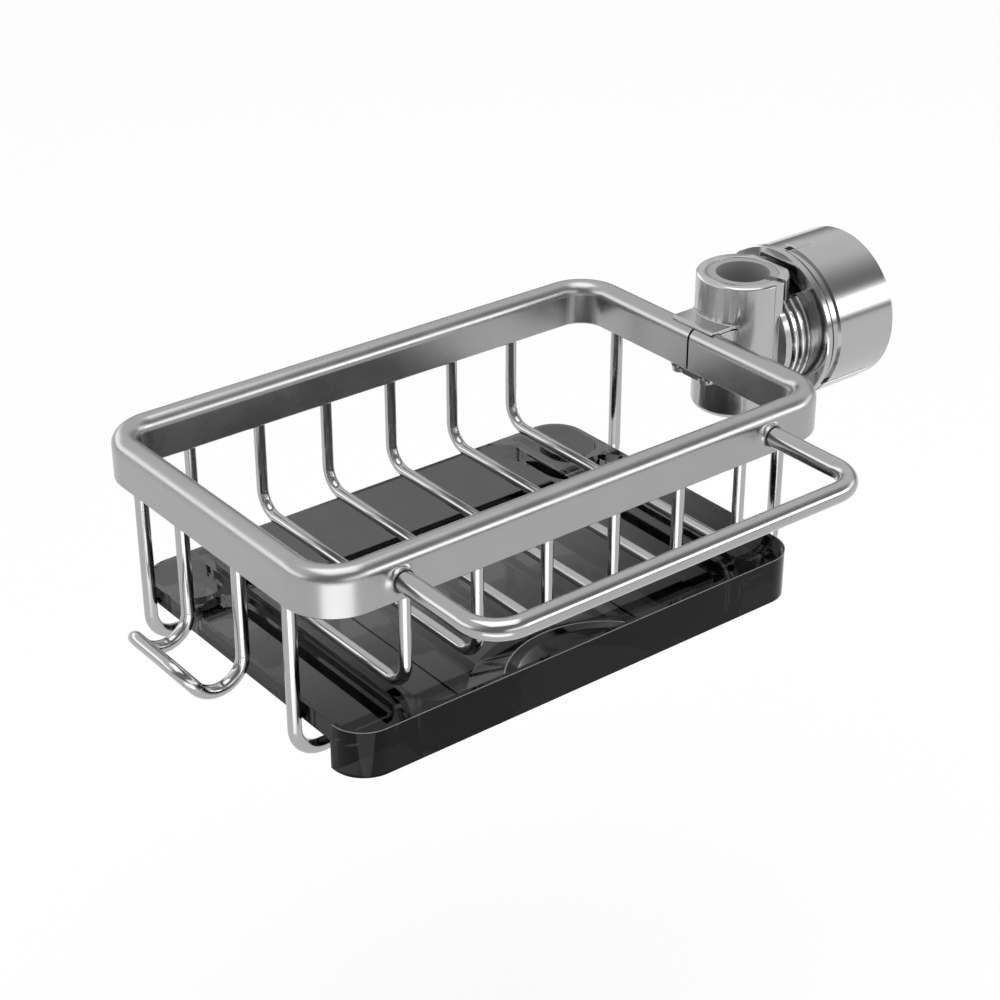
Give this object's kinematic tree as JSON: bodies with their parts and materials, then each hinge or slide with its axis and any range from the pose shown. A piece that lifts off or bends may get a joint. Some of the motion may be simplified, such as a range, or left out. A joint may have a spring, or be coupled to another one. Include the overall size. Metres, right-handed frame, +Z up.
{
  "type": "kitchen sink caddy",
  "caption": "Wire sink caddy on a metal rim with a towel bar, a hook, a pull-out drip tray and a knob-tightened collar for an upright pipe.",
  "frame": {"origin": "on the axis of the collar's bore, at half the collar's height", "axes": "+Z up along the bore and the faucet's pipe, +X from the basket to the knob, -Y towards the towel bar and the tray's front wall"},
  "size_m": [0.3555, 0.2086, 0.1112],
  "materials": {
    "rim": "satin",
    "wire": "bright",
    "bar": "satin",
    "steel": "satin",
    "black_rubber": "matt",
    "clamp": "satin",
    "liner": "matt",
    "knob": "satin",
    "brass": "turned",
    "tray": "smoked, glossy, clear plastic"
  },
  "bodies": {
    "caddy": {"rim_frame": "rim", "rim_joint_pin": "steel", "rib_1": "wire", "rib_2": "wire", "rib_3": "wire", "rib_4": "wire", "rib_5": "wire", "rib_6": "wire", "cradle_front": "wire", "cradle_back": "wire", "hook": "wire", "towel_bar": "bar", "bar_collar_left": "bar", "bar_collar_right": "bar", "bar_ring_left": "black_rubber", "bar_ring_right": "black_rubber", "bar_screws": "steel", "clamp_body": "clamp", "bracket_screws": "steel", "clamp_liner": "liner"},
    "tray": {"drip_tray": "tray"},
    "pad": {"pressure_pad": "steel", "pad_face": "black_rubber", "thrust_washer": "brass", "retaining_ring": "steel"},
    "knob": {"knob_shell": "knob", "knob_insert": "brass", "knob_cap": "knob"}
  },
  "joints": [
    {"name": "tray_slide", "type": "slide", "parent": "caddy", "child": "tray", "axis": [0, -1, 0], "range_m": [-0.009, 0.04]},
    {"name": "pad_travel", "type": "slide", "parent": "caddy", "child": "pad", "axis": [1, 0, 0], "range_m": [-0.0021, 0.0081]},
    {"name": "knob_turn", "type": "hinge", "parent": "pad", "child": "knob", "pos_m": [0.049, 0, 0.0009], "axis": [1, 0, 0], "range_deg": [-180, 720]}
  ],
  "couplings": [
    {"joint": "pad_travel", "follows": "knob_turn", "m_per_rad": 0.00063662}
  ]
}
